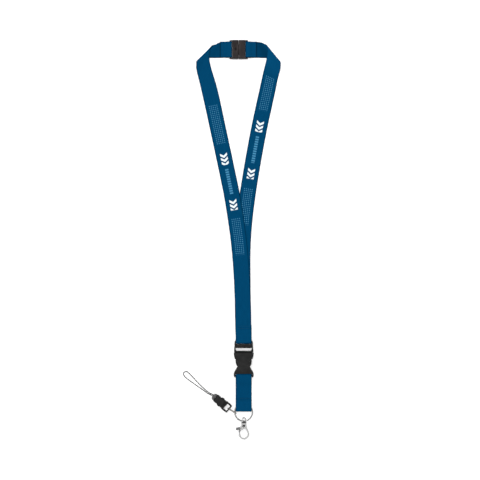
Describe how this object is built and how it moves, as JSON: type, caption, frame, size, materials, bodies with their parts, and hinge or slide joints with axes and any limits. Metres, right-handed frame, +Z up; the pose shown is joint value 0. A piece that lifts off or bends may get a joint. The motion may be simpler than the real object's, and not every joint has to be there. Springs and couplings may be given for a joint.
{
  "type": "lanyard",
  "caption": "Flat ribbon neck lanyard with breakaway clasp, side release buckle, split ring, swivel trigger hook and a detachable phone loop.",
  "frame": {"origin": "on the table, at the middle of the flat lanyard's length and width, leaving out the phone cord and its cap", "axes": "+Y along the lanyard towards the neck, +X across it, +Z up from the table"},
  "size_m": [0.123, 0.5008, 0.008],
  "materials": {
    "ribbon": "woven polyester",
    "clasp_plastic": "moulded satin",
    "buckle_plastic": "moulded satin",
    "cap_plastic": "moulded satin",
    "bright_metal": "plated",
    "wire": "drawn wire",
    "cord": "twisted cord"
  },
  "bodies": {
    "left_side": {"left_strap": "ribbon", "breakaway_socket": "clasp_plastic"},
    "right_side": {"right_strap": "ribbon", "breakaway_plug": "clasp_plastic"},
    "buckle_top": {"buckle_male": "buckle_plastic"},
    "arm_left": {"buckle_arm_left": "buckle_plastic"},
    "arm_right": {"buckle_arm_right": "buckle_plastic"},
    "buckle_bottom": {"buckle_female": "buckle_plastic"},
    "drop": {"drop_strap": "ribbon"},
    "ring": {"split_ring": "bright_metal"},
    "eye": {"swivel_eye": "bright_metal"},
    "hook": {"hook_body": "bright_metal", "gate_pin": "bright_metal", "gate_spring": "bright_metal"},
    "gate": {"hook_gate": "bright_metal"},
    "link": {"link_ring": "wire"},
    "phone_top": {"mini_male": "buckle_plastic"},
    "phone_arm_left": {"mini_arm_left": "buckle_plastic"},
    "phone_arm_right": {"mini_arm_right": "buckle_plastic"},
    "phone_bottom": {"mini_female": "buckle_plastic", "cord_cap": "cap_plastic", "cord_ferrule": "wire", "phone_cord": "cord"}
  },
  "joints": [
    {"name": "neck_release", "type": "hinge", "parent": "left_side", "child": "right_side", "pos_m": [0.006, -0.11, 0.0018], "axis": [0, 0, -1], "range_deg": [0, 20]},
    {"name": "buckle_tilt", "type": "hinge", "parent": "left_side", "child": "buckle_top", "pos_m": [0.0065, -0.1285, 0.0024], "axis": [-1, 0, 0], "range_deg": [0, 60]},
    {"name": "arm_left_squeeze", "type": "hinge", "parent": "buckle_top", "child": "arm_left", "pos_m": [-0.0004, -0.1426, 0.004], "axis": [0, 0, 1], "range_deg": [0, 7], "stiffness_Nm_per_rad": 0.05},
    {"name": "arm_right_squeeze", "type": "hinge", "parent": "buckle_top", "child": "arm_right", "pos_m": [0.0134, -0.1426, 0.004], "axis": [0, 0, -1], "range_deg": [0, 7], "stiffness_Nm_per_rad": 0.05},
    {"name": "buckle_release", "type": "slide", "parent": "buckle_top", "child": "buckle_bottom", "axis": [0, -1, 0], "range_m": [0, 0.022], "deforming": ["buckle_arm_left", "buckle_arm_right"]},
    {"name": "strap_swing", "type": "hinge", "parent": "buckle_bottom", "child": "drop", "pos_m": [0.0065, -0.1707, 0.0024], "axis": [-1, 0, 0], "range_deg": [0, 60]},
    {"name": "ring_turn", "type": "hinge", "parent": "drop", "child": "ring", "pos_m": [0.0065, -0.2166, 0.0029], "axis": [0, 0, 1], "continuous": true},
    {"name": "eye_swing", "type": "hinge", "parent": "drop", "child": "eye", "pos_m": [0.0068, -0.2277, 0.0029], "axis": [-1, 0, 0], "range_deg": [0, 60]},
    {"name": "hook_swivel", "type": "hinge", "parent": "eye", "child": "hook", "pos_m": [0.0068, -0.231, 0.0031], "axis": [0, -1, 0], "continuous": true},
    {"name": "gate_open", "type": "hinge", "parent": "hook", "child": "gate", "pos_m": [0.0029, -0.2366, 0.0031], "axis": [0, 0, 1], "range_deg": [0, 32], "stiffness_Nm_per_rad": 0.01, "springref_deg": -17.19},
    {"name": "link_swing", "type": "hinge", "parent": "drop", "child": "link", "pos_m": [-0.0046, -0.217, 0.0029], "axis": [0, 1, 0], "range_deg": [0, 50]},
    {"name": "phone_tilt", "type": "hinge", "parent": "link", "child": "phone_top", "pos_m": [-0.012, -0.2124, 0.00275], "axis": [0.644, 0.765, 0], "range_deg": [0, 50]},
    {"name": "phone_arm_left_squeeze", "type": "hinge", "parent": "phone_top", "child": "phone_arm_left", "pos_m": [-0.02129, -0.20881, 0.00275], "axis": [0, 0, -1], "range_deg": [0, 7], "stiffness_Nm_per_rad": 0.005},
    {"name": "phone_arm_right_squeeze", "type": "hinge", "parent": "phone_top", "child": "phone_arm_right", "pos_m": [-0.0171, -0.20385, 0.00275], "axis": [0, 0, 1], "range_deg": [0, 7], "stiffness_Nm_per_rad": 0.005},
    {"name": "phone_release", "type": "slide", "parent": "phone_top", "child": "phone_bottom", "axis": [-0.765, 0.644, 0], "range_m": [0, 0.013], "deforming": ["mini_arm_left", "mini_arm_right"]}
  ],
  "couplings": [
    {"joint": "arm_right_squeeze", "follows": "arm_left_squeeze", "ratio": 1},
    {"joint": "phone_arm_right_squeeze", "follows": "phone_arm_left_squeeze", "ratio": 1}
  ]
}
